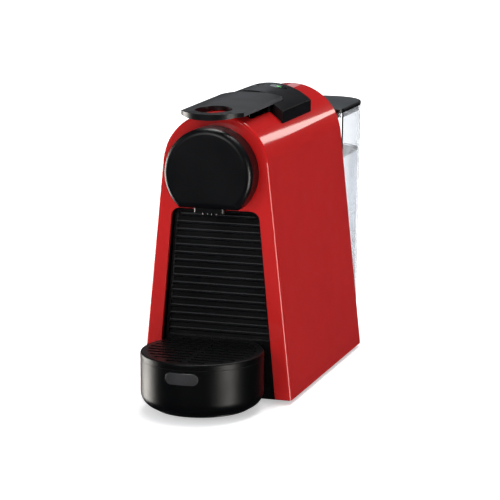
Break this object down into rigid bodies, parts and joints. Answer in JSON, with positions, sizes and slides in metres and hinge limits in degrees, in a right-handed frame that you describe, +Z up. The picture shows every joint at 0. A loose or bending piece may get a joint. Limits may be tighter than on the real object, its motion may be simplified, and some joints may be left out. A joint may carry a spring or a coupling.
{
  "type": "capsule espresso machine",
  "caption": "Small arch-shaped capsule espresso machine with a top lever, round brew head, pull-out drip tray and a clear lift-off water tank at the back.",
  "frame": {"origin": "centre of the footprint's box, on the surface that the feet stand on", "axes": "+Z up, the cup side faces -Y, +X is the side on the right when looking along +Y"},
  "size_m": [0.11, 0.3251, 0.2059],
  "materials": {
    "red_gloss": "high gloss red housing plastic",
    "black_satin": "satin black plastic",
    "black_gloss": "semi-gloss black plastic",
    "frame_grey": "inner frame plastic",
    "clear_plastic": "clear tank plastic",
    "rubber_black": "matte rubber",
    "steel": "brushed steel",
    "aluminium_cast": "cast aluminium",
    "brass_part": "turned brass",
    "board_green": "circuit board laminate",
    "silicone_hose": "translucent silicone",
    "icon_light": "lit translucent icon",
    "white_plastic": "white plastic"
  },
  "bodies": {
    "machine": {"housing": "red_gloss", "rear_panel": "black_satin", "niche_frame": "black_satin", "brew_head_cover": "black_satin", "coffee_outlet": "black_satin", "outlet_channel": "black_satin", "saddle": "black_satin", "lever_pin": "steel", "brew_frame_left": "frame_grey", "brew_frame_right": "frame_grey", "brew_front_block": "frame_grey", "extraction_plate": "steel", "brew_seal": "silicone_hose", "capsule_chute": "black_satin", "chassis_left": "frame_grey", "chassis_right": "frame_grey", "base_plate": "black_satin", "feet": "rubber_black", "base_screws": "steel", "tank_dock": "black_satin", "dock_seal": "silicone_hose", "button_board": "board_green", "button_switches": "black_satin", "main_board": "board_green", "board_parts": "black_satin", "cord_gland": "rubber_black", "pump_body": "brass_part", "pump_coil": "black_satin", "pump_mounts": "rubber_black", "flow_meter_body": "white_plastic", "flow_meter_lid": "white_plastic", "inlet_hose": "silicone_hose", "pump_hose": "silicone_hose", "pressure_hose": "silicone_hose", "injector_pipe": "steel", "thermoblock": "aluminium_cast", "thermal_fuse": "white_plastic", "heater_posts": "steel"},
    "lever": {"lever": "black_satin", "lever_cam_left": "frame_grey", "lever_cam_right": "frame_grey"},
    "cage": {"capsule_cage": "frame_grey", "piercing_needles": "steel", "cage_yoke_left": "frame_grey", "cage_yoke_right": "frame_grey"},
    "espresso_key": {"espresso_button": "black_gloss", "espresso_icon": "icon_light"},
    "lungo_key": {"lungo_button": "black_gloss", "lungo_icon": "icon_light"},
    "tray_unit": {"capsule_container": "black_satin", "drip_tray": "black_satin", "badge_plate": "steel"},
    "grid": {"drip_grid": "black_satin"},
    "tank": {"water_tank": "clear_plastic", "tank_valve": "white_plastic", "lid_pin": "steel"},
    "lid": {"tank_lid": "black_satin"},
    "impeller": {"flow_impeller": "black_satin"},
    "piston": {"pump_piston": "steel"}
  },
  "joints": [
    {"name": "lever_hinge", "type": "hinge", "parent": "machine", "child": "lever", "pos_m": [0, -0.028, 0.1925], "axis": [-1, 0, 0], "range_deg": [0, 86]},
    {"name": "cage_slide", "type": "slide", "parent": "machine", "child": "cage", "axis": [0, 1, 0], "range_m": [0, 0.0302]},
    {"name": "espresso_press", "type": "slide", "parent": "machine", "child": "espresso_key", "axis": [0, 0, -1], "range_m": [0, 0.0009], "stiffness_N_per_m": 600},
    {"name": "lungo_press", "type": "slide", "parent": "machine", "child": "lungo_key", "axis": [0, 0, -1], "range_m": [0, 0.0009], "stiffness_N_per_m": 600},
    {"name": "tray_pull", "type": "slide", "parent": "machine", "child": "tray_unit", "axis": [0, -1, 0], "range_m": [0, 0.072]},
    {"name": "grid_lift", "type": "slide", "parent": "tray_unit", "child": "grid", "axis": [0, 0, 1], "range_m": [0, 0.03]},
    {"name": "tank_lift", "type": "slide", "parent": "machine", "child": "tank", "axis": [0, 0, 1], "range_m": [0, 0.06]},
    {"name": "lid_hinge", "type": "hinge", "parent": "tank", "child": "lid", "pos_m": [0, 0.0874, 0.1796], "axis": [1, 0, 0], "range_deg": [0, 90]},
    {"name": "impeller_spin", "type": "hinge", "parent": "machine", "child": "impeller", "pos_m": [0.022, 0.04, 0.024], "axis": [0, 0, 1], "continuous": true},
    {"name": "piston_stroke", "type": "slide", "parent": "machine", "child": "piston", "axis": [0, 1, 0], "range_m": [0, 0.005], "stiffness_N_per_m": 900}
  ],
  "couplings": [
    {"joint": "cage_slide", "follows": "lever_hinge", "m_per_rad": 0.019987}
  ]
}
